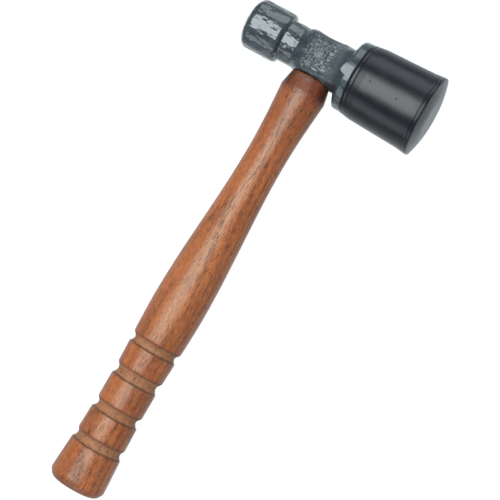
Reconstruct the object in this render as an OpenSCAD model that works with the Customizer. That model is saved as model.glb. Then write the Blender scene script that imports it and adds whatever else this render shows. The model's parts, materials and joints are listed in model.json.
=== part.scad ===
// Two-faced hammer: a cast head with a hard round poll at one end and a screwed-on
// rubber tip at the other, wedged on a turned hardwood handle with four grip grooves.
// The pieces are drawn in the tool's own axes: X along the head towards the rubber tip,
// Y along the handle towards the head, Z across, zero where the two centre lines cross.
// The module lying_down then turns the tool to the pose in which it lies on a bench.

/* [Poll] */
// Radius of the hard poll
poll_r = 17.5; // [16:0.1:20]
// Distance from the handle's centre line to the back of the poll
poll_back = 28; // [27:0.1:33]
// Distance from the handle's centre line to where the poll's round edge starts
poll_edge = 50.2; // [48:0.1:60]
// Radius of the poll's worn edge
poll_edge_r = 4.5; // [2:0.1:6]
// Radius of the crown ground on the poll's face
poll_crown_r = 35; // [30:1:60]
// Radius of the flat in the middle of the poll's face
poll_flat_r = 6; // [2:0.5:8]

/* [Eye and flange] */
// Radius of the round neck between the poll and the eye
neck_r = 14.3; // [13:0.1:15]
// Height of the eye block above the head's centre line
eye_top = 15.1; // [14:0.1:18]
// Depth of the eye block below the head's centre line
eye_bottom = 15.2; // [14:0.1:18]
// Half the thickness of the eye block across the cheeks
eye_half = 17.5; // [16:0.1:20]
// Corner radius of the eye block
eye_corner = 10; // [4:0.1:11]
// Radius of the eye where the handle enters it
eye_r_in = 11; // [10:0.1:11.5]
// Radius of the eye at the wedged end
eye_r_out = 12; // [11.5:0.1:12.5]
// Radius of the flange that backs the rubber tip
flange_r = 24.5; // [22:0.1:25]
// Distance from the handle's centre line to the front of the flange
flange_front = 27; // [26:0.1:28]

/* [Rubber tip] */
// Length of the rubber tip up to its front edge
tip_len = 52.3; // [40:0.1:60]
// Radius of the rubber tip near its back
tip_back_r = 25.85; // [24:0.05:28]
// Radius of the rubber tip in front of its mould line
tip_front_r = 27.2; // [25:0.05:27.5]
// Radius of the rim at the front edge
tip_rim_r = 28; // [27.5:0.05:30]
// Height of the crown on the rubber face
tip_crown = 2.9; // [0.5:0.1:4]
// Radius of the flat in the middle of the rubber face
tip_flat_r = 12; // [5:0.5:16]
// Radius of the steel disc moulded into the back of the tip
plate_r = 20; // [15:0.5:21.5]
// Thickness of that disc
plate_t = 3; // [2:0.1:4]
// Diameter of the stud that screws into the flange
stud_d = 12.7; // [10:0.1:14]
// Length of the stud inside the flange
stud_in = 9; // [6:0.5:10]

/* [Handle] */
// Radius of the handle's cone where it meets the head
cone_r = 13.8; // [12:0.1:14]
// Distance from the head's centre line to the ridge below the cone
ridge_y = 26.1; // [22:0.1:30]
// Radius of that ridge
ridge_r = 16; // [15:0.1:18]
// Distance from the head's centre line to the slimmest place
waist_y = 74.6; // [65:0.1:90]
// Radius of the slimmest place
waist_r = 13.4; // [11:0.05:15]
// Distance from the head's centre line to the thickest place of the swell
swell_y = 190; // [160:1:205]
// Radius of the swell
swell_r = 18.2; // [16:0.1:19]
// Distance from the head's centre line to the butt's end face
butt_y = 325.7; // [322:0.1:340]
// Radius of the butt's rim
butt_r = 19.5; // [18.5:0.1:21]
// Radius of the butt's flat end face
butt_flat_r = 15.7; // [12:0.1:17]

/* [Wedges] */
// Depth of the saw kerf and of its wooden wedge
kerf_depth = 20; // [12:0.5:24]
// Thickness of the wooden wedge at the top of the eye
kerf_top = 3; // [2:0.1:4]
// Thickness of the wooden wedge at its tip
kerf_tip = 0.8; // [0.5:0.1:1.5]
// Width of each steel wedge
steel_w = 10; // [7:0.5:12]
// Length of each steel wedge
steel_len = 15; // [10:0.5:18]
// Thickness of each steel wedge at its head
steel_t = 2.2; // [1.5:0.1:3]
// Distance from the eye's centre to each steel wedge
steel_x = 5; // [4:0.1:6]

/* [Hidden] */
$fn = 96;

// The tenon stops this far below the top of the eye
tenon_recess = 1.6;
tenon_top = eye_top - tenon_recess;
// Round-over at the mouth of the eye
mouth = 0.8;
// The shoulder behind the poll has this radius
shoulder_r = 3;
// Half angle of the crown where it runs into the poll's edge
crown_angle = asin((poll_r - poll_edge_r) / (poll_crown_r - poll_edge_r));
// Centre of the crown's sphere, on the head's centre line
crown_x = -poll_edge + (poll_crown_r - poll_edge_r) * cos(crown_angle);
poll_flat_x = crown_x - sqrt(pow(poll_crown_r, 2) - pow(poll_flat_r, 2));
// Where the neck starts to widen into the eye block, and where it has done so
flare_start = -18;
flare_end = -7;
eye_corner_reach = 21;
// The rise from the eye block to the flange: a fillet, then a straight slope
fillet_r = 3;
fillet_x = 14.9;
flange_slope = 66;
flange_back_r = 3;
flange_edge_r = 1.5;
flange_rise = flange_r - eye_top - (flange_back_r + fillet_r) * (1 - cos(flange_slope));
flange_back_x = fillet_x + (flange_back_r + fillet_r) * sin(flange_slope) + flange_rise / tan(flange_slope);
// The grip grooves: distance from the head's centre line to where each one starts,
// radius there, width, radius where it ends, depth
grooves = [
    [216.2, 17.5, 7.2, 17.1, 2.3],
    [238.6, 16.5, 8.7, 16.4, 2.25],
    [265.1, 16.4, 7.9, 16.9, 2.5],
    [289.1, 17.4, 7.7, 18.1, 1.85]
];
// Height of the butt's rim and of the chamfer between the rim and the end face
butt_rim = 5.7;
butt_chamfer = 1.4;
// Rubber tip: its back edge, its mould line and its front edge
tip_front = flange_front + tip_len;
tip_edge_r = 2.4;
tip_slope_len = 8.3;
mould_line = 3;
mould_line_depth = 0.3;
tip_rim_len = 7;
tip_lip = 0.8;
// The stud's round head behind the disc
stud_head_r = 9;
stud_head_t = 5;
stud_lead = 1;
// Space between the stud's end and the bottom of its tapped hole
tapped_gap = 1;

function arc(a, r, radius, from, to, steps) =
    [for (i = [0:steps]) let(t = from + (to - from) * i / steps)
        [r + radius * sin(t), a + radius * cos(t)]];
function mix(a, b, s) = a + (b - a) * s;

// Outlines are lists of [radius, distance along the centre line]

poll_outline = concat(
    [[0, poll_flat_x]],
    [for (i = [0:6]) let(t = mix(asin(poll_flat_r / poll_crown_r), crown_angle, i / 6))
        [poll_crown_r * sin(t), crown_x - poll_crown_r * cos(t)]],
    arc(-poll_edge, poll_r - poll_edge_r, poll_edge_r, 180 - crown_angle - 12, 90, 6),
    arc(-poll_back - shoulder_r, poll_r - shoulder_r, shoulder_r, 90, 8, 6),
    [[neck_r, -poll_back + 0.6], [neck_r, flare_start]]
);

flare_outline = [for (i = [0:10]) let(s = i / 10)
    [mix(neck_r, eye_corner_reach, (1 - cos(180 * s)) / 2), mix(flare_start, flare_end, s)]];

flange_outline = concat(
    [[0, fillet_x]],
    arc(fillet_x, eye_top + fillet_r, fillet_r, -90, flange_slope - 90, 5),
    arc(flange_back_x, flange_r - flange_back_r, flange_back_r, 90 + flange_slope, 90, 5),
    arc(flange_front - flange_edge_r, flange_r - flange_edge_r, flange_edge_r, 90, 0, 4),
    [[0, flange_front]]
);

rubber_outline = concat(
    [[0, flange_front]],
    arc(flange_front + tip_edge_r, tip_back_r - tip_edge_r - 0.9, tip_edge_r, 180, 100, 6),
    [
        [tip_back_r, flange_front + tip_slope_len],
        [tip_front_r, tip_front - tip_rim_len],
        [mix(tip_front_r, tip_rim_r, 0.5), tip_front - mould_line - mould_line_depth],
        [mix(tip_front_r, tip_rim_r, 0.6) - mould_line_depth, tip_front - mould_line],
        [mix(tip_front_r, tip_rim_r, 0.8), tip_front - mould_line + mould_line_depth]
    ],
    arc(tip_front - tip_lip, tip_rim_r - tip_lip, tip_lip, 90, 10, 4),
    [for (i = [1:6]) let(s = i / 6)
        [mix(tip_rim_r - tip_lip, tip_flat_r, s), tip_front + tip_crown * sin(90 * s)]],
    [[0, tip_front + tip_crown]]
);

handle_outline = concat(
    [
        [0, tenon_top],
        [mix(eye_r_in, eye_r_out, (tenon_top + eye_bottom) / (eye_top + eye_bottom)), tenon_top],
        [eye_r_in, -eye_bottom],
        [cone_r, -eye_bottom]
    ],
    [for (i = [0:8]) let(s = i / 8)
        [mix(ridge_r, waist_r, sin(90 * s)), -mix(ridge_y, waist_y, s)]],
    [for (i = [1:14]) let(s = i / 14)
        [mix(waist_r, swell_r, (1 - cos(180 * s)) / 2), -mix(waist_y, swell_y, s)]],
    [for (i = [1:3]) let(s = i / 4)
        [mix(swell_r, grooves[0][1], 1 - cos(90 * s)), -mix(swell_y, grooves[0][0], s)]],
    [for (g = grooves, i = [0:8]) let(s = i / 8)
        [mix(g[1], g[3], s) - g[4] * sin(180 * s), -g[0] - g[2] * s]],
    [
        [butt_r, butt_rim - butt_y],
        [butt_r - 0.2, butt_rim - 1.6 - butt_y],
        [butt_flat_r + 1.9, butt_chamfer - butt_y],
        [butt_flat_r, -butt_y],
        [0, -butt_y]
    ]
);

// A shape's reach in one direction, for an outline turned about its centre line:
// along and across are that direction's parts along the centre line and square to it
function reach(outline, along, across) = max([for (p = outline) p[1] * along + p[0] * across]);

// The tool lies on the back edge of the rubber tip, the poll's edge and the butt's rim
lean_slope = max([for (b = rubber_outline)
    min([for (p = poll_outline) (b[0] - p[0]) / (b[1] - p[1])])]);
lean = atan(lean_slope);
rest_h = reach(poll_outline, -sin(lean), cos(lean));
butt_span = sqrt(pow(butt_y - butt_rim, 2) + pow(butt_r, 2));
pitch = asin(rest_h / butt_span) - atan(butt_r / (butt_y - butt_rim));
roll = asin(sin(lean) / cos(pitch));
// Half way between the tool's ends, across and along the bench
side_along = -sin(pitch) * sin(roll);
mid_x = (reach(rubber_outline, cos(roll), sin(roll)) - reach(poll_outline, -cos(roll), sin(roll))) / 2;
far_y = reach(rubber_outline, side_along, sqrt(1 - pow(side_along, 2)));
near_y = reach(handle_outline, -cos(pitch), sin(pitch));
mid_y = (far_y - near_y) / 2;

module lying_down() {
    translate([-mid_x, -mid_y, rest_h])
        rotate([pitch, 0, 0])
            rotate([0, -roll, 0])
                children();
}

module turned_along_x(outline) {
    rotate([0, 90, 0]) rotate_extrude() polygon(outline);
}

module turned_along_y(outline) {
    rotate([-90, 0, 0]) rotate_extrude() polygon(outline);
}

module rod_along_x(from, to, r) {
    translate([from, 0, 0]) rotate([0, 90, 0]) cylinder(h = to - from, r = r);
}

module cone_along_y(from, to, r_from, r_to) {
    translate([0, from, 0]) rotate([-90, 0, 0]) cylinder(h = to - from, r1 = r_from, r2 = r_to);
}

module eye_section() {
    low = eye_bottom - eye_corner;
    high = eye_top - eye_corner;
    side = eye_half - eye_corner;
    polygon(concat(
        [for (a = [0:15:90]) [high + eye_corner * cos(a), side + eye_corner * sin(a)]],
        [for (a = [90:15:180]) [-low + eye_corner * cos(a), side + eye_corner * sin(a)]],
        [for (a = [180:15:270]) [-low + eye_corner * cos(a), -side + eye_corner * sin(a)]],
        [for (a = [270:15:360]) [high + eye_corner * cos(a), -side + eye_corner * sin(a)]]
    ));
}

module eye_block() {
    block_end = flange_back_x - flange_back_r;
    intersection() {
        translate([flare_start, 0, 0])
            rotate([90, 0, 90])
                linear_extrude(height = block_end - flare_start)
                    eye_section();
        turned_along_x(concat(
            [[0, flare_start]],
            flare_outline,
            [[eye_corner_reach, block_end], [0, block_end]]
        ));
    }
}

module eye_hole() {
    cone_along_y(-eye_bottom, eye_top, eye_r_in, eye_r_out);
    cone_along_y(eye_top - mouth, eye_top + mouth, eye_r_out, eye_r_out + 2 * mouth);
}

module kerf_space() {
    rotate([90, 0, 90])
        linear_extrude(height = 2 * eye_r_out + 2, center = true)
            polygon([
                [tenon_top, kerf_top / 2],
                [tenon_top - kerf_depth, kerf_tip / 2],
                [tenon_top - kerf_depth, -kerf_tip / 2],
                [tenon_top, -kerf_top / 2]
            ]);
}

// A flat wedge with barbs that keep it from backing out
module steel_wedge(x) {
    barbs = 4;
    barb = 0.25;
    tip = 0.2;
    half = [for (i = [0:barbs]) mix(steel_t / 2, tip, i / barbs)];
    depth = [for (i = [0:barbs]) tenon_top - steel_len * i / barbs];
    flank = [for (i = [0:barbs - 1], k = [0, 1])
        [half[i + k] + ((k == 0 && i > 0) ? barb : 0), depth[i + k]]];
    other = [for (i = [len(flank) - 1:-1:0]) [-flank[i][0], flank[i][1]]];
    translate([x, 0, 0])
        linear_extrude(height = steel_w, center = true)
            polygon(concat(flank, other));
}

module tapped_hole() {
    rod_along_x(flange_front - stud_in - tapped_gap, flange_front + 1, stud_d / 2);
}

module hammer_head() {
    color("slategray")
        lying_down()
            difference() {
                union() {
                    turned_along_x(concat(poll_outline, [[0, flare_start]]));
                    eye_block();
                    turned_along_x(flange_outline);
                }
                eye_hole();
                tapped_hole();
            }
}

module handle() {
    color("sienna")
        lying_down()
            difference() {
                turned_along_y(handle_outline);
                kerf_space();
                steel_wedge(-steel_x);
                steel_wedge(steel_x);
            }
}

module kerf_wedge() {
    color("tan")
        lying_down()
            difference() {
                intersection() {
                    kerf_space();
                    cone_along_y(-eye_bottom, eye_top, eye_r_in, eye_r_out);
                }
                steel_wedge(-steel_x);
                steel_wedge(steel_x);
            }
}

module steel_wedge_1() {
    color("darkgray") lying_down() steel_wedge(-steel_x);
}

module steel_wedge_2() {
    color("darkgray") lying_down() steel_wedge(steel_x);
}

module rubber_tip() {
    color([0.12, 0.13, 0.14])
        lying_down()
            difference() {
                turned_along_x(rubber_outline);
                rod_along_x(flange_front - 1, flange_front + plate_t, plate_r);
                rod_along_x(flange_front, flange_front + plate_t + stud_head_t, stud_head_r);
            }
}

module tip_plate() {
    color("silver")
        lying_down()
            difference() {
                rod_along_x(flange_front, flange_front + plate_t, plate_r);
                rod_along_x(flange_front - 1, flange_front + plate_t + 1, stud_d / 2);
            }
}

module tip_stud() {
    shank = stud_d / 2;
    stud_end = flange_front - stud_in;
    head_back = flange_front + plate_t;
    color("gainsboro")
        lying_down()
            turned_along_x([
                [0, stud_end],
                [shank - stud_lead, stud_end],
                [shank, stud_end + stud_lead],
                [shank, head_back],
                [stud_head_r, head_back],
                [stud_head_r, head_back + stud_head_t],
                [0, head_back + stud_head_t]
            ]);
}

hammer_head();
handle();
kerf_wedge();
steel_wedge_1();
steel_wedge_2();
rubber_tip();
tip_plate();
tip_stud();
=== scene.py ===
import itertools
import json
import math

import bmesh
import bpy
import numpy as np
from mathutils import Matrix, Vector


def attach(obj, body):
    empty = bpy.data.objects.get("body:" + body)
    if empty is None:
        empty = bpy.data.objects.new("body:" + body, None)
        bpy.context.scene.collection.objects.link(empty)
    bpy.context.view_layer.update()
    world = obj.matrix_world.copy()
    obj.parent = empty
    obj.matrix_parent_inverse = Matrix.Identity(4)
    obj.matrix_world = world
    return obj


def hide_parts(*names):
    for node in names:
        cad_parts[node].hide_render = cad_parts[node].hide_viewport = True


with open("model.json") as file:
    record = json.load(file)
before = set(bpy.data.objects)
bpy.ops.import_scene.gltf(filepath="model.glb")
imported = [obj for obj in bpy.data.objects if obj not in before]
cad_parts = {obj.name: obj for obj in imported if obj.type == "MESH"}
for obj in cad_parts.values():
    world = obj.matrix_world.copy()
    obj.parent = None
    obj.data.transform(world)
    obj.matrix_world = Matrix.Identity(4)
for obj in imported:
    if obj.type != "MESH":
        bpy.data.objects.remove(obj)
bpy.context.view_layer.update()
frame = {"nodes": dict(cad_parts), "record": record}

# Lengths are in millimetres in the tool's own axes: X along the head towards the rubber
# tip, Y along the handle towards the head, Z across, zero where the two centre lines
# cross. The frame's mounts say where those axes lie in the row frame.
MM = 0.001
BODY = "root"
# The lowest points stay this far above the bench, in metres, clear of the floor's plane
BENCH_GAP = 0.02 * MM


def mount(name):
    found = next(m for m in frame["record"]["mounts"] if m["name"] == name)
    return Vector(found["pos_m"]), Vector(found["axis"]).normalized()


def tool_frame():
    """The matrix from tool millimetres to row metres, and the tool's three ends."""
    rubber_pos, along_head = mount("rubber_face")
    poll_pos, _ = mount("poll_face")
    butt_pos, towards_butt = mount("butt_face")
    across = along_head.cross(-towards_butt).normalized()
    along_handle = across.cross(along_head)
    origin = rubber_pos + along_head * (butt_pos - rubber_pos).dot(along_head)
    axes = Matrix((along_head, along_handle, across)).transposed().to_4x4()
    matrix = Matrix.Translation(origin) @ axes @ Matrix.Scale(MM, 4)
    return (matrix, (poll_pos - origin).dot(along_head) / MM,
            (rubber_pos - origin).dot(along_head) / MM,
            (origin - butt_pos).dot(along_handle) / MM)


TO_ROW, POLL_FACE, RUBBER_FACE, BUTT = tool_frame()

# ---------------------------------------------------------------- camera

CAMERA_TILT = math.radians(11.3)
CAMERA_ROLL = math.radians(30.257)
CAMERA_DISTANCE = 1045.0
AIM_SIDE = 21.8
AIM_ALONG = -132.6
SENSOR = 36.0
LENS = 114.0


def view_axes():
    """The directions along the head, along the handle and towards the camera, as seen."""
    side = Vector((math.cos(CAMERA_TILT), 0.0, -math.sin(CAMERA_TILT)))
    along = Vector((0.0, 1.0, 0.0))
    return side, along, side.cross(along)


def place(obj, columns, position):
    """Puts an object at a tool position, its own axes along three tool directions."""
    turn = Matrix([TO_ROW.to_3x3() @ c for c in columns])
    turn = Matrix([row.normalized() for row in turn]).transposed()
    obj.matrix_world = Matrix.Translation(TO_ROW @ position) @ turn.to_4x4()
    bpy.context.scene.collection.objects.link(obj)


def make_camera():
    side, along, back = view_axes()
    right = side * math.cos(CAMERA_ROLL) + along * math.sin(CAMERA_ROLL)
    up = along * math.cos(CAMERA_ROLL) - side * math.sin(CAMERA_ROLL)
    data = bpy.data.cameras.new("camera")
    data.lens = LENS
    data.sensor_width = SENSOR
    data.clip_start = 0.01
    data.clip_end = 20.0
    camera = bpy.data.objects.new("camera", data)
    place(camera, (right, up, back), side * AIM_SIDE + along * AIM_ALONG + back * CAMERA_DISTANCE)
    bpy.context.scene.camera = camera


make_camera()

# ---------------------------------------------------------------- sizes

# The CAD model's own sizes, apart from the flange's edge, which is a little sharper here
POLL_R = 17.5
POLL_BACK = 28.0
POLL_EDGE = 50.2
POLL_EDGE_R = 4.5
POLL_CROWN_R = 35.0
POLL_FLAT_R = 6.0
SHOULDER_R = 3.0
NECK_R = 14.3
EYE_TOP = 15.1
EYE_BOTTOM = 15.2
EYE_HALF = 17.5
EYE_R_IN = 11.0
EYE_R_OUT = 12.0
MOUTH = 0.8
FLANGE_R = 24.5
FLANGE_FRONT = 27.0
FLANGE_EDGE_R = 1.1
TIP_BACK_R = 25.85
TIP_FRONT_R = 27.2
TIP_RIM_R = 28.0
TIP_CROWN = 2.9
TIP_FLAT_R = 12.0
TIP_FRONT = RUBBER_FACE - TIP_CROWN
PLATE_R = 20.0
PLATE_T = 3.0
STUD_R = 6.35
STUD_HOLE = 10.0
STUD_HEAD_R = 9.0
STUD_HEAD_T = 5.0
TENON_TOP = EYE_TOP - 1.6

# Cutters reach this far past the surface they cut
CUT_OVER = 1.0

# ---------------------------------------------------------------- mesh tools


def arc(x, r, radius, start, end, steps):
    """Points (distance along, radius) on an arc: 0 degrees is along the axis, 90 outwards."""
    turns = np.radians(np.linspace(start, end, steps + 1))
    return [(x + radius * math.cos(t), r + radius * math.sin(t)) for t in turns]


def mix(a, b, s):
    return a + (b - a) * s


def smooth_step(low, high, x):
    s = np.clip((x - low) / (high - low), 0.0, 1.0)
    return s * s * (3.0 - 2.0 * s)


def refine(points, step):
    """Splits each stretch of an outline into equal pieces no longer than step."""
    out = [points[0]]
    for (x0, r0), (x1, r1) in zip(points, points[1:]):
        pieces = max(1, math.ceil(math.hypot(x1 - x0, r1 - r0) / step))
        out += [(mix(x0, x1, i / pieces), mix(r0, r1, i / pieces)) for i in range(1, pieces + 1)]
    return np.array(out)


def soft_noise(points, size, seed):
    """Smooth noise from -1 to 1 at the points, with lumps of about the given size."""
    p = points / np.array(size, float) + 31.7 * seed
    cell = np.floor(p).astype(np.int64)
    part = p - cell
    ease = part ** 3 * (part * (part * 6.0 - 15.0) + 10.0)
    total = np.zeros(len(points))
    for corner in itertools.product((0, 1), repeat=3):
        c = cell + corner
        h = (c[:, 0] * 73856093) ^ (c[:, 1] * 19349663) ^ (c[:, 2] * 83492791)
        h = ((h ^ (h >> 13)) * 1274126177) & 0x7FFFFFFF
        h = ((h ^ (h >> 15)) * 668265263) & 0x7FFFFFFF
        weight = np.prod(np.where(corner, ease, 1.0 - ease), axis=1)
        total += weight * (h / 0x3FFFFFFF - 1.0)
    return total


def revolve(outline, segments, along, shape=None):
    """A closed mesh round tool axis X or Y, as (vertices, faces). The outline's ends lie on
    the axis. shape(x, angle, r) may change the radius of each point."""
    turns = np.linspace(0.0, 2.0 * math.pi, segments, endpoint=False)
    x, r = outline[1:-1, 0][:, None], outline[1:-1, 1][:, None]
    radius = np.repeat(r, segments, axis=1) if shape is None else shape(x, turns[None, :], r)
    c, s = radius * np.cos(turns), radius * np.sin(turns)
    x = np.repeat(x, segments, axis=1)
    grid = np.stack([x, c, s] if along == "X" else [s, x, c], axis=-1).reshape(-1, 3)
    ends = [(e, 0.0, 0.0) if along == "X" else (0.0, e, 0.0) for e in outline[[0, -1], 0]]
    vertices = np.vstack([grid, ends])
    rings = len(outline) - 2
    first = np.arange((rings - 1) * segments)
    column = first % segments
    right = first - column + (column + 1) % segments
    faces = np.stack([first, right, right + segments, first + segments], axis=1).tolist()
    last = (rings - 1) * segments
    for i in range(segments):
        j = (i + 1) % segments
        faces.append((len(grid), j, i))
        faces.append((len(grid) + 1, last + i, last + j))
    return vertices, faces


def new_object(name, vertices, faces):
    mesh = bpy.data.meshes.new(name)
    mesh.from_pydata(np.asarray(vertices).tolist(), [], faces)
    obj = bpy.data.objects.new(name, mesh)
    bpy.context.scene.collection.objects.link(obj)
    work = bmesh.new()
    work.from_mesh(mesh)
    bmesh.ops.recalc_face_normals(work, faces=work.faces)
    work.to_mesh(mesh)
    work.free()
    return obj


def points_of(mesh):
    co = np.zeros(len(mesh.vertices) * 3)
    mesh.vertices.foreach_get("co", co)
    return co.reshape(-1, 3)


def push(obj, field):
    """Moves each vertex along its normal by field(points), in millimetres."""
    co = points_of(obj.data)
    normals = np.zeros(co.size)
    obj.data.vertices.foreach_get("normal", normals)
    co = co + normals.reshape(-1, 3) * field(co)[:, None]
    obj.data.vertices.foreach_set("co", co.ravel())
    obj.data.update()


def cut(obj, cutters):
    """Takes the cutters out of the object and deletes them."""
    for cutter in cutters:
        modifier = obj.modifiers.new("cut", "BOOLEAN")
        modifier.operation = "DIFFERENCE"
        modifier.solver = "EXACT"
        modifier.object = cutter
    view = bpy.context.evaluated_depsgraph_get()
    mesh = bpy.data.meshes.new_from_object(obj.evaluated_get(view))
    obj.modifiers.clear()
    obj.data = mesh
    for cutter in cutters:
        bpy.data.objects.remove(cutter)


def settle(obj, material, nodes, sharp=35.0):
    """Finishes a piece: tool coordinates for its material, its place, no point under the
    bench, then its parent body, with the CAD nodes it replaces hidden."""
    mesh = obj.data
    co = points_of(mesh)
    store = mesh.attributes.new("tool", "FLOAT_VECTOR", "POINT")
    store.data.foreach_set("vector", co.ravel())
    mesh.transform(TO_ROW)
    co = points_of(mesh)
    co[:, 2] = np.maximum(co[:, 2], BENCH_GAP)
    mesh.vertices.foreach_set("co", co.ravel())
    mesh.materials.clear()
    mesh.materials.append(material)
    mesh.shade_smooth()
    mesh.set_sharp_from_angle(angle=math.radians(sharp))
    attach(obj, BODY)
    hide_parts(*nodes)


# ---------------------------------------------------------------- material tools


def new_material(name, **shader_values):
    """A material, its node tree and its shader, with constant values on the shader."""
    material = bpy.data.materials.new(name)
    material.use_nodes = True
    shader = material.node_tree.nodes["Principled BSDF"]
    for key, value in shader_values.items():
        shader.inputs[key.replace("_", " ")].default_value = value
    return material, material.node_tree, shader


def add(tree, kind, inputs=(), **settings):
    """A shader node. An input takes a value, or another node's output to link."""
    made = tree.nodes.new("ShaderNode" + kind)
    for key, value in settings.items():
        setattr(made, key, value)
    for key, value in dict(inputs).items():
        if isinstance(value, bpy.types.NodeSocket):
            tree.links.new(value, made.inputs[key])
        else:
            made.inputs[key].default_value = value
    return made


def calc(tree, operation, a, b=0.0):
    return add(tree, "Math", {0: a, 1: b}, operation=operation).outputs[0]


def times(tree, first, *others):
    """The product of several masks or numbers."""
    for other in others:
        first = calc(tree, "MULTIPLY", first, other)
    return first


def shift(tree, noise, amount):
    """Noise from 0 to 1 as a shift of up to half the amount either way."""
    return times(tree, calc(tree, "SUBTRACT", noise, 0.5), amount)


def any_of(tree, masks):
    """The highest of several masks."""
    total = masks[0]
    for mask in masks[1:]:
        total = calc(tree, "MAXIMUM", total, mask)
    return total


def hypot(tree, a, b):
    squares = calc(tree, "ADD", calc(tree, "POWER", a, 2.0), calc(tree, "POWER", b, 2.0))
    return calc(tree, "SQRT", squares)


def tool_point(tree):
    """The stored tool coordinates of a piece made here."""
    return add(tree, "Attribute", attribute_name="tool").outputs["Vector"]


def own_point(tree):
    """A CAD node's own coordinates, turned from metres into millimetres."""
    metres = add(tree, "TexCoord").outputs["Object"]
    per_metre = (1.0 / MM, 1.0 / MM, 1.0 / MM)
    return add(tree, "VectorMath", {0: metres, 1: per_metre}, operation="MULTIPLY").outputs[0]


def split(tree, vector):
    return add(tree, "SeparateXYZ", {0: vector}).outputs


def grain(tree, vector, size, detail=3.0, rough=0.5):
    """Noise from 0 to 1 whose lumps have the given size in millimetres along X, Y and Z."""
    scale = tuple(1.0 / s for s in size)
    scaled = add(tree, "VectorMath", {0: vector, 1: scale}, operation="MULTIPLY").outputs[0]
    inputs = {"Vector": scaled, "Scale": 1.0, "Detail": detail, "Roughness": rough}
    return add(tree, "TexNoise", inputs).outputs["Fac"]


def band(tree, value, low, high, invert=False):
    """0 below low and 1 above high, with a soft step between, or the other way round."""
    start, end = (1.0, 0.0) if invert else (0.0, 1.0)
    inputs = {"Value": value, "From Min": low, "From Max": high, "To Min": start, "To Max": end}
    return add(tree, "MapRange", inputs, interpolation_type="SMOOTHSTEP").outputs[0]


def blend(tree, factor, a, b):
    """Mixes two colours, each a colour or another node's output."""
    node = add(tree, "Mix", {0: factor}, data_type="RGBA")
    for key, value in ((6, a), (7, b)):
        if isinstance(value, bpy.types.NodeSocket):
            tree.links.new(value, node.inputs[key])
        else:
            node.inputs[key].default_value = (*value, 1.0)
    return node.outputs[2]


def stain(tree, colour, mask, strength, tone):
    """A colour with a tone mixed in where the mask is 1, at the given strength."""
    return blend(tree, times(tree, mask, strength), colour, tone)


def level(tree, factor, low, high):
    """A plain number that runs from low to high as factor runs from 0 to 1."""
    return add(tree, "MapRange", {"Value": factor, "To Min": low, "To Max": high}).outputs[0]


def set_bump(tree, shader, heights):
    """Stacks bump layers, each (height from 0 to 1, depth in millimetres)."""
    normal = None
    for height, depth in heights:
        inputs = {"Height": height, "Distance": depth * MM, "Strength": 1.0}
        if normal is not None:
            inputs["Normal"] = normal
        normal = add(tree, "Bump", inputs).outputs[0]
    tree.links.new(normal, shader.inputs["Normal"])


# ---------------------------------------------------------------- light and floor

# How far the floor reaches each way, in metres
FLOOR_REACH = 6.0
FLOOR_GLOW = 0.97
FLOOR_ALBEDO = 0.06
STUDIO_ABOVE = (0.11, 0.13, 0.15)
STUDIO_BELOW = (0.86, 0.94, 0.98)
KEY_TINT = (0.93, 1.0, 1.0)
END_TINT = (0.88, 0.97, 1.0)
# All softboxes face this place on the handle
LIGHT_TARGET = Vector((0.0, 0.3 * AIM_ALONG, 0.0))
# Each softbox: angle to the side, angle along the handle, distance, width, height,
# radiance, tint
SOFTBOXES = {
    "key": (-17.0, -2.0, 1300.0, 1160.0, 1170.0, 6.1, KEY_TINT),
    "far": (0.0, 72.0, 1400.0, 1800.0, 900.0, 2.0, END_TINT),
    "near": (0.0, -77.0, 1600.0, 1800.0, 720.0, 1.9, END_TINT),
}


def softbox(name, side_angle, along_angle, distance, width, height, radiance, tint):
    """An area light that faces its target from a direction given by two angles."""
    side, along, back = view_axes()
    a = math.radians(side_angle)
    b = math.radians(along_angle)
    towards = (side * math.sin(a) + back * math.cos(a)) * math.cos(b) + along * math.sin(b)
    light = bpy.data.lights.new(name, "AREA")
    light.shape = "RECTANGLE"
    light.size = width * MM
    light.size_y = height * MM
    light.energy = radiance * math.pi * light.size * light.size_y
    light.color = tint
    obj = bpy.data.objects.new(name, light)
    sideways = side.cross(towards).cross(towards).normalized() * -1.0
    upright = towards.cross(sideways)
    place(obj, (sideways, upright, towards), LIGHT_TARGET + towards * distance)


def make_world():
    """Surroundings that run from bright straight below to dark above. Reflections show
    them in place of the floor."""
    world = bpy.data.worlds.new("studio")
    bpy.context.scene.world = world
    world.use_nodes = True
    tree = world.node_tree
    _, _, up = split(tree, add(tree, "TexCoord").outputs["Generated"])
    colour = blend(tree, band(tree, up, -0.95, 0.05), STUDIO_BELOW, STUDIO_ABOVE)
    tree.links.new(colour, tree.nodes["Background"].inputs["Color"])


def make_floor():
    """A plain pale floor that glows enough to show white."""
    mesh = bpy.data.meshes.new("floor")
    low, high = -FLOOR_REACH, FLOOR_REACH
    corners = [(low, low, 0.0), (high, low, 0.0), (high, high, 0.0), (low, high, 0.0)]
    mesh.from_pydata(corners, [], [(0, 1, 2, 3)])
    floor = bpy.data.objects.new("floor", mesh)
    bpy.context.scene.collection.objects.link(floor)
    albedo = (FLOOR_ALBEDO, FLOOR_ALBEDO, FLOOR_ALBEDO, 1.0)
    material, _, _ = new_material(
        "floor", Base_Color=albedo, Roughness=1.0, Specular_IOR_Level=0.0,
        Emission_Color=(1.0, 1.0, 1.0, 1.0), Emission_Strength=FLOOR_GLOW)
    mesh.materials.append(material)
    # Its reflection would turn the lower sides of the head and tip white
    floor.visible_glossy = False


bpy.context.scene.view_settings.view_transform = "Standard"
make_world()
make_floor()
for box_name, settings in SOFTBOXES.items():
    softbox(box_name, *settings)

# ---------------------------------------------------------------- head

FLARE_START = -18.0
FLARE_END = -7.0
EYE_REACH = 21.0
TOP_SQUARENESS = 3.2
BOTTOM_SQUARENESS = 4.5
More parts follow.
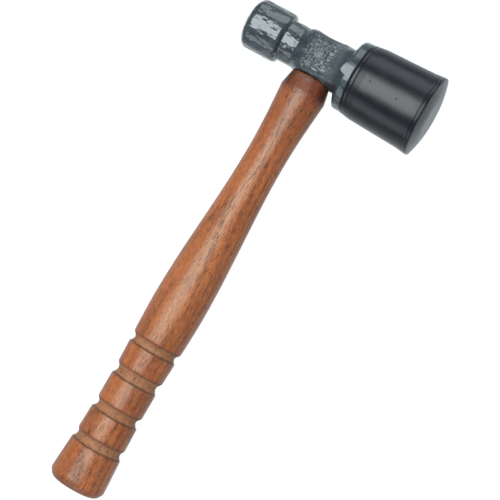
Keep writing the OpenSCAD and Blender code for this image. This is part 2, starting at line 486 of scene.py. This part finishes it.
# Along X the cheek rises, stays flat, and then climbs a ramp to the flange. The ramp's end
# bows forward on both sides of its middle, which is given as a cosine of the angle round X
CHEEK_FLAT_START = -6.5
CHEEK_FLAT_END = 4.0
CHEEK_RAMP_END = 18.7
CHEEK_BOW_MIDDLE = -0.1
CHEEK_BOW_ABOVE = 27.0
CHEEK_BOW_BELOW = 390.0
CHEEK_RIM_ABOVE = 3.5
CHEEK_RIM_BELOW = 1.8
CHEEK_HALF_START = NECK_R + 0.6
CHEEK_HALF_END = FLANGE_R + 0.3
CHEEK_RAMP_CURVE = 1.8
FILLET_X = 14.9
FILLET_R = 3.0
FLANGE_SLOPE = 66.0
FLANGE_BACK_R = 3.0
FLANGE_RIM_R = FLANGE_R + 0.08
# How softly the eye block joins the round outline
JOIN_R = 3.5
JOIN_FULL = FLARE_START + 9.0
JOIN_FADE = (15.0, 18.5)
EYE_SIDE_SOFTNESS = 2.0
# The eye's casting skin calms down between these places near the handle, along Y
EYE_CALM = (-14.0, -6.0)
HEAD_STEP = 0.45
HEAD_SEGMENTS = 304
EYE_SEGMENTS = 128


def head_outline():
    crown_angle = math.degrees(math.asin((POLL_R - POLL_EDGE_R) / (POLL_CROWN_R - POLL_EDGE_R)))
    flat_angle = math.degrees(math.asin(POLL_FLAT_R / POLL_CROWN_R))
    crown_x = POLL_FACE + math.sqrt(POLL_CROWN_R ** 2 - POLL_FLAT_R ** 2)
    slope = math.radians(FLANGE_SLOPE)
    rise = FLANGE_R - EYE_TOP - (FLANGE_BACK_R + FILLET_R) * (1.0 - math.cos(slope))
    flange_x = FILLET_X + (FLANGE_BACK_R + FILLET_R) * math.sin(slope) + rise / math.tan(slope)
    points = [(POLL_FACE, 0.0)]
    points += arc(crown_x, 0.0, POLL_CROWN_R, 180.0 - flat_angle, 180.0 - crown_angle, 12)
    points += arc(-POLL_EDGE, POLL_R - POLL_EDGE_R, POLL_EDGE_R, 174.0 - crown_angle, 90.0, 10)
    points += arc(-POLL_BACK - SHOULDER_R, POLL_R - SHOULDER_R, SHOULDER_R, 90.0, 15.0, 8)
    points += arc(1.0 - POLL_BACK, NECK_R + 1.0, 1.0, 190.0, 270.0, 5)
    points += [(8.0, NECK_R)]
    points += arc(FILLET_X, EYE_TOP + FILLET_R, FILLET_R, -90.0, FLANGE_SLOPE - 90.0, 8)
    points += arc(flange_x, FLANGE_R - FLANGE_BACK_R, FLANGE_BACK_R, 90.0 + FLANGE_SLOPE, 96.0, 8)
    points += arc(FLANGE_FRONT - FLANGE_EDGE_R, FLANGE_RIM_R - FLANGE_EDGE_R, FLANGE_EDGE_R, 90.0, 0.0, 6)
    hole_end = FLANGE_FRONT - STUD_HOLE
    points += [(FLANGE_FRONT, STUD_R), (hole_end, STUD_R), (hole_end, 0.0)]
    return refine(points, HEAD_STEP)


def soft_max(a, b, k):
    """The larger of a and b, rounded over where they differ by less than k."""
    h = np.clip(k - np.abs(a - b), 0.0, None) / np.maximum(k, 1e-6)
    return np.maximum(a, b) + h * h * k / 4.0


def head_radius(x, angle, r):
    """The round outline, grown into an eye block with full cheeks that run up to the flange."""
    top = np.cos(angle) > 0.0
    height = np.where(top, EYE_TOP, EYE_BOTTOM)
    from_middle = np.cos(angle) - CHEEK_BOW_MIDDLE
    above = from_middle > 0.0
    bow = np.where(above, CHEEK_BOW_ABOVE, CHEEK_BOW_BELOW)
    rim = np.where(above, CHEEK_RIM_ABOVE, CHEEK_RIM_BELOW)
    ramp_end = np.minimum(CHEEK_RAMP_END + bow * from_middle ** 2, FLANGE_FRONT - rim)
    ramp = np.clip((x - CHEEK_FLAT_END) / (ramp_end - CHEEK_FLAT_END), 0.0, 1.0) ** CHEEK_RAMP_CURVE
    rise = smooth_step(FLARE_START + 1.0, CHEEK_FLAT_START, x)
    half = mix(CHEEK_HALF_START, EYE_HALF, rise) + ramp * (CHEEK_HALF_END - EYE_HALF)
    square = np.where(top, TOP_SQUARENESS, BOTTOM_SQUARENESS)
    block = np.abs(np.cos(angle) / height) ** square + np.abs(np.sin(angle) / half) ** square
    block = block ** (-1.0 / square)
    flare = mix(NECK_R, EYE_REACH, smooth_step(FLARE_START, FLARE_END, x))
    reach = np.where(x < 0.0, flare, FLANGE_RIM_R)
    block = -soft_max(-block, -reach, EYE_SIDE_SOFTNESS * (x < 0.0))
    join = JOIN_R * smooth_step(FLARE_START, JOIN_FULL, x) * (1.0 - smooth_step(*JOIN_FADE, x))
    joined = soft_max(r, block, join)
    # The poll, the flange's front edge and the stud's hole keep their own radius
    inside = (x > FLARE_START) & (x < FLANGE_FRONT - 2.0) & (r > NECK_R - 0.1)
    return np.where(inside, joined, r)


def casting(p):
    """Lumps of a sand casting under thick paint: long and shallow, rougher on the eye."""
    x, y, z = p.T
    wander = x + 3.5 * soft_noise(p, (9.0, 6.0, 6.0), 8)
    eye = smooth_step(-14.0, -6.0, wander) * (1.0 - smooth_step(5.0, 12.0, wander - 0.25 * y))
    field = 0.17 * soft_noise(p, (9.0, 5.0, 5.0), 1)
    field += 0.15 * soft_noise(p, (3.8, 2.4, 2.4), 2)
    field += 0.09 * soft_noise(p, (1.9, 1.3, 1.3), 5)
    field *= 1.0 - 0.85 * smooth_step(9.0, 12.0, x) * (1.0 - smooth_step(9.0, 13.0, np.abs(y)))
    rough = 0.50 * soft_noise(p, (2.2, 1.2, 1.25), 3) + 0.24 * soft_noise(p, (1.25, 0.85, 0.85), 4)
    eye *= mix(0.3, 1.0, smooth_step(*EYE_CALM, y))
    field += eye * rough * (1.05 + 0.55 * soft_noise(p, (6.0, 5.0, 5.0), 6))
    round_handle = smooth_step(EYE_R_OUT + 1.0, EYE_R_OUT + 3.0, np.hypot(x, z))
    return field * round_handle * (1.0 - smooth_step(FLANGE_FRONT - 1.0, FLANGE_FRONT - 0.1, x))


def cone(start, end, r_start, r_end):
    """A cutter along the handle, with a radius at each end."""
    outline = np.array([(start, 0.0), (start, r_start), (end, r_end), (end, 0.0)])
    return new_object("cutter", *revolve(outline, EYE_SEGMENTS, "Y"))


def make_head(material):
    head = new_object("head_casting", *revolve(head_outline(), HEAD_SEGMENTS, "X", head_radius))
    push(head, casting)
    taper = (EYE_R_OUT - EYE_R_IN) / (EYE_TOP + EYE_BOTTOM)
    spread = CUT_OVER * taper
    eye = cone(-EYE_BOTTOM - CUT_OVER, EYE_TOP + CUT_OVER, EYE_R_IN - spread, EYE_R_OUT + spread)
    mouth = cone(EYE_TOP - MOUTH, EYE_TOP + MOUTH, EYE_R_OUT, EYE_R_OUT + 2.0 * MOUTH)
    cut(head, [eye, mouth])
    settle(head, material, ["hammer_head"])


def dull_shaded_corner(tree, x, y):
    """1 in the corner between the handle and the flange, which is dull and painted nearly black as painted
    shade.
    """
    across = times(tree, band(tree, x, 10.5, 12.5), band(tree, x, 19.0, 22.0, invert=True))
    return times(tree, across, band(tree, y, -14.2, -12.8, invert=True))


def rough_eye(tree, tool, x, y):
    """1 on the rough cheek of the eye block, with a wandering border."""
    from_left = calc(tree, "ADD", x, shift(tree, grain(tree, tool, (8.0, 5.0, 5.0)), 14.0))
    from_right = calc(tree, "ADD", from_left, times(tree, y, -0.25))
    eye = times(tree, band(tree, from_left, -12.0, -5.0), band(tree, from_right, 2.0, 10.0, invert=True))
    return times(tree, eye, level(tree, band(tree, y, *EYE_CALM), 0.3, 1.0))


def enamel():
    """Thick dark slate enamel, glossy, over a rough casting."""
    material, tree, shader = new_material("enamel", Coat_Roughness=0.05, Metallic=0.0)
    tool = tool_point(tree)
    x, y, _ = split(tree, tool)
    eye = rough_eye(tree, tool, x, y)
    corner = dull_shaded_corner(tree, x, y)
    poll = band(tree, x, -20.0, -15.0, invert=True)
    patch = grain(tree, tool, (7.0, 5.0, 5.0), 4.0, 0.6)
    speck = grain(tree, tool, (0.9, 0.7, 0.7), 3.0, 0.6)
    worn = grain(tree, tool, (1.25, 0.75, 0.9), 3.0, 0.65)
    pebble = grain(tree, tool, (1.2, 0.9, 0.9), 3.0, 0.6)
    fine = grain(tree, tool, (0.5, 0.5, 0.5), 2.0, 0.5)

    colour = blend(tree, band(tree, patch, 0.35, 0.65), (0.028, 0.037, 0.044), (0.046, 0.058, 0.067))
    colour = blend(tree, band(tree, speck, 0.62, 0.75), colour, (0.08, 0.098, 0.11))
    # Pale flecks on the rough eye: worn paint, and painted glints standing in for highlights off the rough
    # casting
    worn_and_glint_area = times(tree, eye, band(tree, patch, 0.45, 0.6))
    colour = stain(tree, colour, band(tree, worn, 0.61, 0.68), worn_and_glint_area, (0.22, 0.255, 0.275))
    # The foot of the ramp is painted paler: a painted reflection of the lighter surroundings its tilted face
    # sees
    ramp_foot_reflection = times(tree, band(tree, x, 5.0, 9.5), band(tree, x, 13.0, 18.0, invert=True))
    mottling = level(tree, band(tree, worn, 0.38, 0.62), 0.15, 0.95)
    colour = stain(tree, colour, ramp_foot_reflection, mottling, (0.095, 0.108, 0.116))
    # Painted shade: the corner between the handle and the flange is painted nearly black
    colour = stain(tree, colour, corner, 0.85, (0.004, 0.004, 0.005))
    tree.links.new(colour, shader.inputs["Base Color"])

    coat = calc(tree, "ADD", level(tree, corner, 0.35, 0.0), times(tree, poll, 0.4))
    tree.links.new(coat, shader.inputs["Coat Weight"])
    roughness = calc(tree, "ADD", level(tree, patch, 0.09, 0.19), level(tree, eye, 0.0, 0.05))
    roughness = calc(tree, "ADD", roughness, level(tree, corner, 0.0, 0.7))
    tree.links.new(roughness, shader.inputs["Roughness"])
    pebble = times(tree, pebble, level(tree, eye, 0.22, 1.0))
    set_bump(tree, shader, [(pebble, 0.55), (fine, 0.035)])
    return material


# ---------------------------------------------------------------- rubber tip

TIP_STEP = 0.5
TIP_SEGMENTS = 256
TIP_SLOPE_START = 1.2
TIP_SLOPE_END = 8.3
TIP_STRAIGHT_END = TIP_FRONT - 7.7
TIP_FLARE = (TIP_FRONT - 9.0, TIP_FRONT - 0.5)
TIP_EDGE_R = 0.6
BACK_BEAD_R = 1.25
# Each mould line: its place along X and its depth
MOULD_LINES = ((TIP_FRONT - 3.3, 0.30), (TIP_FRONT - 1.05, 0.32), (FLANGE_FRONT + 2.75, 0.30))
MOULD_LINE_HALF = 0.42
# Where the two pits are, along X and Y
RUBBER_PITS = ((39.8, -0.7), (60.0, -2.7))


def tip_radius(x):
    """Outer radius of the tip behind its front edge, with fine mould lines."""
    places = (FLANGE_FRONT + TIP_SLOPE_START, FLANGE_FRONT + TIP_SLOPE_END, TIP_STRAIGHT_END)
    body = np.interp(x, places, (TIP_BACK_R - 1.0, TIP_BACK_R, TIP_FRONT_R))
    flare = (TIP_RIM_R - TIP_FRONT_R) * smooth_step(*TIP_FLARE, x)
    sunk = sum(depth * np.exp(-((x - line_x) / MOULD_LINE_HALF) ** 2) for line_x, depth in MOULD_LINES)
    return body + flare - sunk


def tip_outline():
    plate_back = FLANGE_FRONT + PLATE_T
    pocket = plate_back + STUD_HEAD_T
    edge_r = TIP_RIM_R - TIP_EDGE_R
    points = [(pocket, 0.0), (pocket, STUD_HEAD_R), (plate_back, STUD_HEAD_R), (plate_back, PLATE_R)]
    points += [(FLANGE_FRONT, PLATE_R)]
    bead_centre = TIP_BACK_R - 1.0 - BACK_BEAD_R
    points += arc(FLANGE_FRONT + BACK_BEAD_R, bead_centre, BACK_BEAD_R, 180.0, 85.0, 10)
    side = np.arange(FLANGE_FRONT + 1.8, TIP_FRONT - TIP_EDGE_R, 0.25)
    points += [(x, tip_radius(x)) for x in side]
    points += arc(TIP_FRONT - TIP_EDGE_R, edge_r, TIP_EDGE_R, 80.0, 10.0, 5)
    for s in np.linspace(0.0, 1.0, 12)[1:]:
        crown = TIP_CROWN * math.sin(s * math.pi / 2.0)
        points.append((TIP_FRONT + crown, mix(edge_r, TIP_FLAT_R, s)))
    points += [(RUBBER_FACE, 0.0)]
    return refine(points, TIP_STEP)


def moulding(p):
    """Slight waves in the rubber's outer skin, and none in its pocket."""
    outer = smooth_step(22.0, 25.0, np.hypot(p[:, 1], p[:, 2]))
    return 0.03 * soft_noise(p, (9.0, 6.0, 6.0), 7) * outer


def make_tip(material):
    tip = new_object("rubber_block", *revolve(tip_outline(), TIP_SEGMENTS, "X"))
    push(tip, moulding)
    settle(tip, material, ["rubber_tip"], sharp=50.0)


def pit_mask(tree, x, y, z):
    """1 in the pits on the seen side of the rubber."""
    pits = []
    for pit_x, pit_y in RUBBER_PITS:
        gap = hypot(tree, calc(tree, "SUBTRACT", x, pit_x), calc(tree, "SUBTRACT", y, pit_y))
        pits.append(times(tree, band(tree, gap, 0.2, 0.75, invert=True), band(tree, z, 0.0, 5.0)))
    return any_of(tree, pits)


def moulded_rubber():
    """Near-black moulded rubber with a soft sheen, faint bloom, a painted reflection on the striking face,
    and a few pits with painted shade.
    """
    material, tree, shader = new_material("rubber", Specular_IOR_Level=0.42, Metallic=0.0)
    tool = tool_point(tree)
    x, y, z = split(tree, tool)
    pit = pit_mask(tree, x, y, z)
    bloom = grain(tree, tool, (14.0, 5.0, 5.0), 4.0, 0.6)
    streak = grain(tree, tool, (0.8, 9.0, 9.0), 3.0, 0.6)
    speck = grain(tree, tool, (0.7, 0.7, 0.7), 3.0, 0.6)
    bloomed = band(tree, bloom, 0.3, 0.75)
    colour = blend(tree, bloomed, (0.005, 0.0056, 0.0082), (0.009, 0.0105, 0.0145))
    colour = stain(tree, colour, band(tree, speck, 0.66, 0.78), 0.5, (0.045, 0.048, 0.052))
    # Painted shade: the pits are painted darker, as shade in the hollows
    colour = stain(tree, colour, pit, 0.6, (0.004, 0.004, 0.005))
    # The striking face is painted paler than the side: a little bloom, and a painted reflection of the bright
    # floor it meets at a grazing angle
    face = band(tree, x, TIP_FRONT + 0.1, TIP_FRONT + 0.6)
    colour = stain(tree, colour, face, level(tree, bloomed, 0.4, 1.0), (0.024, 0.030, 0.035))
    tree.links.new(colour, shader.inputs["Base Color"])
    tree.links.new(level(tree, bloom, 0.25, 0.36), shader.inputs["Roughness"])
    solid = calc(tree, "SUBTRACT", 1.0, pit)
    set_bump(tree, shader, [(streak, 0.02), (speck, 0.03), (solid, 0.15)])
    return material


# ---------------------------------------------------------------- handle

CONE_R = 13.8
RIDGE_Y = 26.1
RIDGE_R = 16.0
WAIST_Y = 74.6
WAIST_R = 13.4
SWELL_Y = 190.0
SWELL_R = 18.2
BUTT_R = 19.5
BUTT_FLAT_R = 15.7
BUTT_RIM = 5.7
BUTT_CHAMFER = 1.4
# Where each groove starts, its radius there, its width, its radius at the end, its depth
GROOVES = ((216.2, 17.5, 7.2, 17.1, 2.3), (238.6, 16.5, 8.7, 16.4, 2.25),
           (265.1, 16.4, 7.9, 16.9, 2.5), (289.1, 17.4, 7.7, 18.1, 1.85))
HANDLE_SEGMENTS = 200
HANDLE_STEP = 0.7
GROOVE_STEPS = 30
# Bare wood stops this far short of a groove's butt side, where the dark line is
GROOVE_LIP = 0.6
GROOVE_SOFTNESS = 0.35


def handle_outline():
    """The turned profile from the tenon's end to the butt, as (Y, radius)."""
    tenon_r = mix(EYE_R_IN, EYE_R_OUT, (TENON_TOP + EYE_BOTTOM) / (EYE_TOP + EYE_BOTTOM))
    points = [(TENON_TOP, 0.0), (TENON_TOP, tenon_r), (-EYE_BOTTOM, EYE_R_IN), (-EYE_BOTTOM, CONE_R - 0.3),
              (-EYE_BOTTOM - 0.3, CONE_R), (-RIDGE_Y + 0.5, RIDGE_R - 0.1), (-RIDGE_Y - 0.4, RIDGE_R - 0.02)]
    for s in np.linspace(0.0, 1.0, 24)[1:]:
        points.append((-mix(RIDGE_Y, WAIST_Y, s), mix(RIDGE_R, WAIST_R, math.sin(s * math.pi / 2.0))))
    for s in np.linspace(0.0, 1.0, 40)[1:]:
        points.append((-mix(WAIST_Y, SWELL_Y, s), mix(WAIST_R, SWELL_R, (1.0 - math.cos(s * math.pi)) / 2.0)))
    first_groove_y, first_groove_r = GROOVES[0][:2]
    for s in np.linspace(0.0, 1.0, 12)[1:-1]:
        fall = 1.0 - math.cos(s * math.pi / 2.0)
        points.append((-mix(SWELL_Y, first_groove_y, s), mix(SWELL_R, first_groove_r, fall)))
    for start, r_start, width, r_end, depth in GROOVES:
        for s in np.linspace(0.0, 1.0, GROOVE_STEPS + 1):
            # Fuller towards the butt; the sine is not quite zero at the groove's end
            fullness = 1.15 if s < 0.5 else 0.75
            cove = math.sin(math.pi * s) ** fullness if s < 1.0 else 0.0
            points.append((-start - width * s, mix(r_start, r_end, s) - depth * cove))
    points += [(BUTT_RIM - BUTT, BUTT_R), (BUTT_RIM - 1.6 - BUTT, BUTT_R - 0.2),
               (BUTT_RIM - 2.6 - BUTT, BUTT_R - 0.9), (BUTT_CHAMFER - BUTT, BUTT_FLAT_R + 1.9),
               (0.5 - BUTT, BUTT_FLAT_R + 0.9), (-BUTT, BUTT_FLAT_R), (-BUTT, 0.0)]
    return refine(points, HANDLE_STEP)


def turning(p):
    """Slight unevenness of hand sanding, and worn edges beside the grooves."""
    y = p[:, 1]
    field = 0.06 * soft_noise(p, (13.0, 24.0, 13.0), 11) + 0.02 * soft_noise(p, (4.0, 9.0, 4.0), 12)
    for start, _, width, _, _ in GROOVES:
        for edge in (start, start + width):
            near = np.exp(-((y + edge) / 0.8) ** 2)
            field -= near * (0.06 + 0.09 * np.clip(soft_noise(p, (2.2, 1.2, 2.2), 13), 0.0, 1.0))
    return field * (1.0 - smooth_step(-EYE_BOTTOM - 6.0, -EYE_BOTTOM - 1.0, y))


def prism(outline, width, across):
    """A straight solid: a flat outline drawn in X and Y, or in Y and Z, given a width."""
    half = width / 2.0
    if across == "Z":
        ends = [[(a, b, side) for a, b in outline] for side in (-half, half)]
    else:
        ends = [[(side, a, b) for a, b in outline] for side in (-half, half)]
    n = len(outline)
    faces = [list(range(n)), list(range(n, 2 * n))]
    faces += [[i, (i + 1) % n, n + (i + 1) % n, n + i] for i in range(n)]
    return new_object("cutter", ends[0] + ends[1], faces)


KERF_DEPTH = 20.0
KERF_TOP = 3.0
KERF_TIP = 0.8
STEEL_WIDTH = 10.0
STEEL_LENGTH = 15.0
STEEL_THICK = 2.2
# Half the thickness at a steel wedge's tip
STEEL_TIP = 0.2
STEEL_X = 5.0


def kerf_cutter():
    """The wooden wedge's slot, as wide as the eye."""
    top, bottom = TENON_TOP + CUT_OVER, TENON_TOP - KERF_DEPTH
    wide = KERF_TOP / 2.0 + CUT_OVER * (KERF_TOP - KERF_TIP) / KERF_DEPTH / 2.0
    outline = [(top, wide), (bottom, KERF_TIP / 2.0), (bottom, -KERF_TIP / 2.0), (top, -wide)]
    return prism(outline, 2.0 * EYE_R_OUT + 4.0, "X")


def steel_cutter(x):
    """The slot of one steel wedge."""
    top, bottom = TENON_TOP + CUT_OVER, TENON_TOP - STEEL_LENGTH
    half = STEEL_THICK / 2.0
    outline = [(x - half, top), (x + half, top), (x + STEEL_TIP, bottom), (x - STEEL_TIP, bottom)]
    return prism(outline, STEEL_WIDTH, "Z")


def make_handle(material):
    handle = new_object("turned_handle", *revolve(handle_outline(), HANDLE_SEGMENTS, "Y"))
    push(handle, turning)
    cut(handle, [kerf_cutter(), steel_cutter(-STEEL_X), steel_cutter(STEEL_X)])
    settle(handle, material, ["handle"])


def groove_mask(tree, y):
    """1 inside the grip grooves, with a soft border."""
    insides = []
    for start, _, width, _, _ in GROOVES:
        top, bottom = -start, -start - width + GROOVE_LIP
        below_top = band(tree, y, top - GROOVE_SOFTNESS, top + GROOVE_SOFTNESS, invert=True)
        above_bottom = band(tree, y, bottom - GROOVE_SOFTNESS, bottom + GROOVE_SOFTNESS)
        insides.append(times(tree, above_bottom, below_top))
    return any_of(tree, insides)


def edge_mask(tree, y, share, offset, reach):
    """1 on a line round each groove, fading over the given reach. The share is 0 at the
    groove's head side and 1 at its butt side."""
    lines = []
    for start, _, width, _, _ in GROOVES:
        gap = calc(tree, "ABSOLUTE", calc(tree, "ADD", y, start + share * width + offset))
        lines.append(band(tree, gap, 0.25 * reach, reach, invert=True))
    return any_of(tree, lines)


# The growth rings' centre line and their width
PITH_X = 16.0
PITH_DEPTH = 52.0
PITH_SKEW = 0.035
RING_WIDTH = 4.6
# The long grain line: its middle along Y, its place in X, its bow, and how far it runs
LINE_MIDDLE = -73.0
LINE_X = 0.2
LINE_SWING = 2.2
LINE_WAVE = 96.0
LINE_REACH = 50.0


def long_line(tree, tool, x, y, z):
    """1 on one long bowed grain line at the front of the waist, broken here and there."""
    along = calc(tree, "SUBTRACT", y, LINE_MIDDLE)
    wave = calc(tree, "COSINE", times(tree, along, 2.0 * math.pi / LINE_WAVE))
    wobble = shift(tree, grain(tree, tool, (2.0, 8.0, 2.0)), 2.4)
    line_x = calc(tree, "ADD", calc(tree, "ADD", times(tree, wave, LINE_SWING), LINE_X), wobble)
    gap = calc(tree, "ABSOLUTE", calc(tree, "SUBTRACT", x, line_x))
    line = times(tree, band(tree, gap, 0.15, 0.6, invert=True), band(tree, z, 2.0, 6.0))
    from_middle = calc(tree, "ABSOLUTE", along)
    line = times(tree, line, band(tree, from_middle, 0.75 * LINE_REACH, LINE_REACH, invert=True))
    return times(tree, line, band(tree, grain(tree, tool, (0.8, 4.0, 0.8)), 0.36, 0.5))


def early_wood(tree, tool, x, y, z):
    """1 on the porous part of each growth ring, round a pith below the handle, a little
    skew to it."""
    from_x = calc(tree, "ADD", calc(tree, "SUBTRACT", x, PITH_X), times(tree, y, PITH_SKEW))
    ring = hypot(tree, from_x, calc(tree, "ADD", z, PITH_DEPTH))
    wander = grain(tree, tool, (16.0, 70.0, 16.0), 2.0, 0.5)
    fine_wander = grain(tree, tool, (4.0, 30.0, 4.0), 2.0, 0.5)
    ring = calc(tree, "ADD", ring, times(tree, wander, 7.0))
    ring = calc(tree, "ADD", ring, times(tree, fine_wander, 1.2))
    phase = calc(tree, "FRACT", calc(tree, "DIVIDE", ring, RING_WIDTH))
    return times(tree, band(tree, phase, 0.0, 0.12), band(tree, phase, 0.16, 0.6, invert=True))


def fibre_colour(tree, tool, early, streak, mottle, fleck):
    """The stained wood's own colour, the same all along the handle."""
    tone = grain(tree, tool, (9.0, 60.0, 9.0), 3.0, 0.55)
    colour = blend(tree, band(tree, tone, 0.3, 0.7), (0.285, 0.075, 0.024), (0.44, 0.138, 0.046))
    colour = stain(tree, colour, band(tree, streak, 0.45, 0.75), 0.5, (0.20, 0.052, 0.017))
    colour = stain(tree, colour, early, 0.35, (0.18, 0.046, 0.018))
    colour = stain(tree, colour, band(tree, mottle, 0.5, 0.8), 0.3, (0.56, 0.22, 0.075))
    colour = stain(tree, colour, band(tree, fleck, 0.50, 0.64), 0.42, (0.16, 0.038, 0.013))
    pale_fleck = band(tree, fleck, 0.34, 0.46, invert=True)
    return stain(tree, colour, pale_fleck, 0.35, (0.58, 0.225, 0.08))


def marked_colour(tree, tool, colour, x, y, z, mottle):
    """What marks places along the handle: a paler swell, redder blotches, painted shade that
    darkens the wood towards the head and on the cone's sides under it, and the long grain line."""
    swell = times(tree, band(tree, y, -150.0, -95.0, invert=True), band(tree, y, -225.0, -195.0))
    colour = stain(tree, colour, swell, 0.14, (0.56, 0.205, 0.072))
    blotch = grain(tree, tool, (1.2, 1.7, 1.2), 3.0, 0.65)
    colour = stain(tree, colour, band(tree, blotch, 0.50, 0.66), 0.38, (0.30, 0.058, 0.026))
    # Painted shade: the wood is painted darker towards the head
    colour = stain(tree, colour, band(tree, y, -64.0, -34.0), 0.30, (0.19, 0.046, 0.021))
    ragged_y = calc(tree, "ADD", y, shift(tree, blotch, 16.0))
    # Painted shade under the head: darker, redder wood with a ragged edge
    under_head_shade = band(tree, ragged_y, -RIDGE_Y - 6.0, -RIDGE_Y + 2.0)
    colour = stain(tree, colour, under_head_shade, 0.60, (0.120, 0.026, 0.015))
    # Painted shade on the cone's sides below the head, nearly black in patches
    from_middle = calc(tree, "ABSOLUTE", calc(tree, "SUBTRACT", x, 1.5))
    cone_side_shade = times(tree, under_head_shade, band(tree, from_middle, 6.0, 14.0), level(tree, mottle, 0.35, 0.85))
    colour = blend(tree, cone_side_shade, colour, (0.026, 0.011, 0.008))
    return stain(tree, colour, long_line(tree, tool, x, y, z), 0.75, (0.045, 0.014, 0.008))


def groove_colour(tree, tool, colour, groove, y_worn):
    """Bare wood in the grooves, darker lines on their edges, and a darker butt rim."""
    turned = grain(tree, tool, (3.0, 0.7, 3.0), 3.0, 0.65)
    bare = blend(tree, turned, (0.46, 0.220, 0.105), (0.25, 0.080, 0.034))
    colour = stain(tree, colour, groove, level(tree, turned, 1.0, 0.55), bare)
    # Darker lines along each groove's butt side and, fainter, along its head side
    dark_butt_edge = edge_mask(tree, y_worn, 1.0, -0.5, 1.1)
    colour = stain(tree, colour, dark_butt_edge, 0.7, (0.055, 0.020, 0.012))
    dark_head_edge = edge_mask(tree, y_worn, 0.0, 0.5, 1.3)
    colour = stain(tree, colour, dark_head_edge, 0.6, (0.115, 0.026, 0.012))
    rim = band(tree, y_worn, -BUTT + 3.4, -BUTT + 4.4, invert=True)
    return stain(tree, colour, rim, 0.5, (0.15, 0.036, 0.018))


def paint_smear(tree, tool, x, y, z, fleck):
    """How strongly head paint covers the wood in a thin smear below the head."""
    ragged = shift(tree, grain(tree, tool, (2.0, 1.0, 2.0), 3.0, 0.6), 1.3)
    from_line = calc(tree, "ABSOLUTE", calc(tree, "ADD", calc(tree, "ADD", y, 18.0), ragged))
    across = times(tree, band(tree, x, -9.5, -8.0), band(tree, x, 2.5, 5.5, invert=True))
    smear = times(tree, band(tree, from_line, 0.35, 0.75, invert=True), across)
    smear = times(tree, smear, band(tree, z, 4.0, 6.0))
    return times(tree, smear, level(tree, band(tree, fleck, 0.40, 0.60), 0.85, 0.35))


def stained_wood():
    """Turned ring-porous hardwood: red-brown stain, dark pores, satin lacquer, and
    paler unlacquered grooves with a dark line at their butt side."""
    material, tree, shader = new_material(
        "stained_wood", Specular_IOR_Level=0.47, Specular_Tint=(0.58, 0.98, 0.94, 1.0), Metallic=0.0)
    tool = tool_point(tree)
    x, y, z = split(tree, tool)
    early = early_wood(tree, tool, x, y, z)
    streak = grain(tree, tool, (0.9, 22.0, 0.9), 3.0, 0.6)
    mottle = grain(tree, tool, (2.2, 3.0, 2.2), 3.0, 0.6)
    fleck = grain(tree, tool, (0.75, 3.4, 0.75), 3.0, 0.65)
    pores = grain(tree, tool, (0.42, 6.5, 0.42), 2.0, 0.6)
    pore = band(tree, calc(tree, "SUBTRACT", pores, level(tree, early, 0.60, 0.53)), 0.0, 0.07)
    y_worn = calc(tree, "ADD", y, shift(tree, grain(tree, tool, (1.6, 1.6, 1.6), 2.0, 0.5), 1.6))
    groove = groove_mask(tree, y_worn)
    tenon = band(tree, y, -EYE_BOTTOM + 0.5, -EYE_BOTTOM + 1.0)
    end_grain = blend(tree, early, (0.30, 0.16, 0.075), (0.12, 0.055, 0.025))

    colour = fibre_colour(tree, tool, early, streak, mottle, fleck)
    colour = marked_colour(tree, tool, colour, x, y, z, mottle)
    colour = groove_colour(tree, tool, colour, groove, y_worn)
    colour = stain(tree, colour, pore, 0.8, (0.045, 0.014, 0.008))
    colour = blend(tree, tenon, colour, end_grain)
    colour = blend(tree, paint_smear(tree, tool, x, y, z, fleck), colour, (0.085, 0.098, 0.103))
    tree.links.new(colour, shader.inputs["Base Color"])

    lacquer = level(tree, streak, 0.27, 0.45)
    bare_wood = calc(tree, "MAXIMUM", groove, tenon)
    roughness = add(tree, "Mix", {0: bare_wood, 2: lacquer, 3: 0.62}, data_type="FLOAT").outputs[0]
    tree.links.new(roughness, shader.inputs["Roughness"])
    solid = calc(tree, "SUBTRACT", 1.0, pore)
    set_bump(tree, shader, [(streak, 0.09), (solid, 0.08), (fleck, 0.05)])
    return material


# ---------------------------------------------------------------- small and inner pieces


def plain_wood():
    """End grain of the wooden wedge."""
    material, tree, shader = new_material("wedge_wood", Metallic=0.0, Roughness=0.7)
    fibre = grain(tree, own_point(tree), (0.5, 3.0, 0.3), 3.0, 0.6)
    tree.links.new(blend(tree, fibre, (0.66, 0.48, 0.28), (0.44, 0.29, 0.15)), shader.inputs["Base Color"])
    set_bump(tree, shader, [(fibre, 0.08)])
    return material


def dull_steel(name, light, dark, roughness):
    """Steel with a light and a dark colour, at least as rough as the number given."""
    material, tree, shader = new_material(name, Metallic=1.0)
    wear = grain(tree, own_point(tree), (1.4, 1.4, 1.4), 4.0, 0.6)
    tree.links.new(blend(tree, wear, light, dark), shader.inputs["Base Color"])
    tree.links.new(level(tree, wear, roughness, roughness + 0.2), shader.inputs["Roughness"])
    set_bump(tree, shader, [(wear, 0.03)])
    return material


def dress(node, material):
    """Gives a CAD node that stays in view a better material."""
    mesh = frame["nodes"][node].data
    mesh.materials.clear()
    mesh.materials.append(material)


make_head(enamel())
make_tip(moulded_rubber())
make_handle(stained_wood())
dress("kerf_wedge", plain_wood())
wedge_steel = dull_steel("wedge_steel", (0.44, 0.42, 0.40), (0.12, 0.095, 0.08), 0.35)
dress("steel_wedge_1", wedge_steel)
dress("steel_wedge_2", wedge_steel)
zinc = dull_steel("zinc_steel", (0.62, 0.63, 0.65), (0.45, 0.46, 0.48), 0.3)
dress("tip_plate", zinc)
dress("tip_stud", zinc)
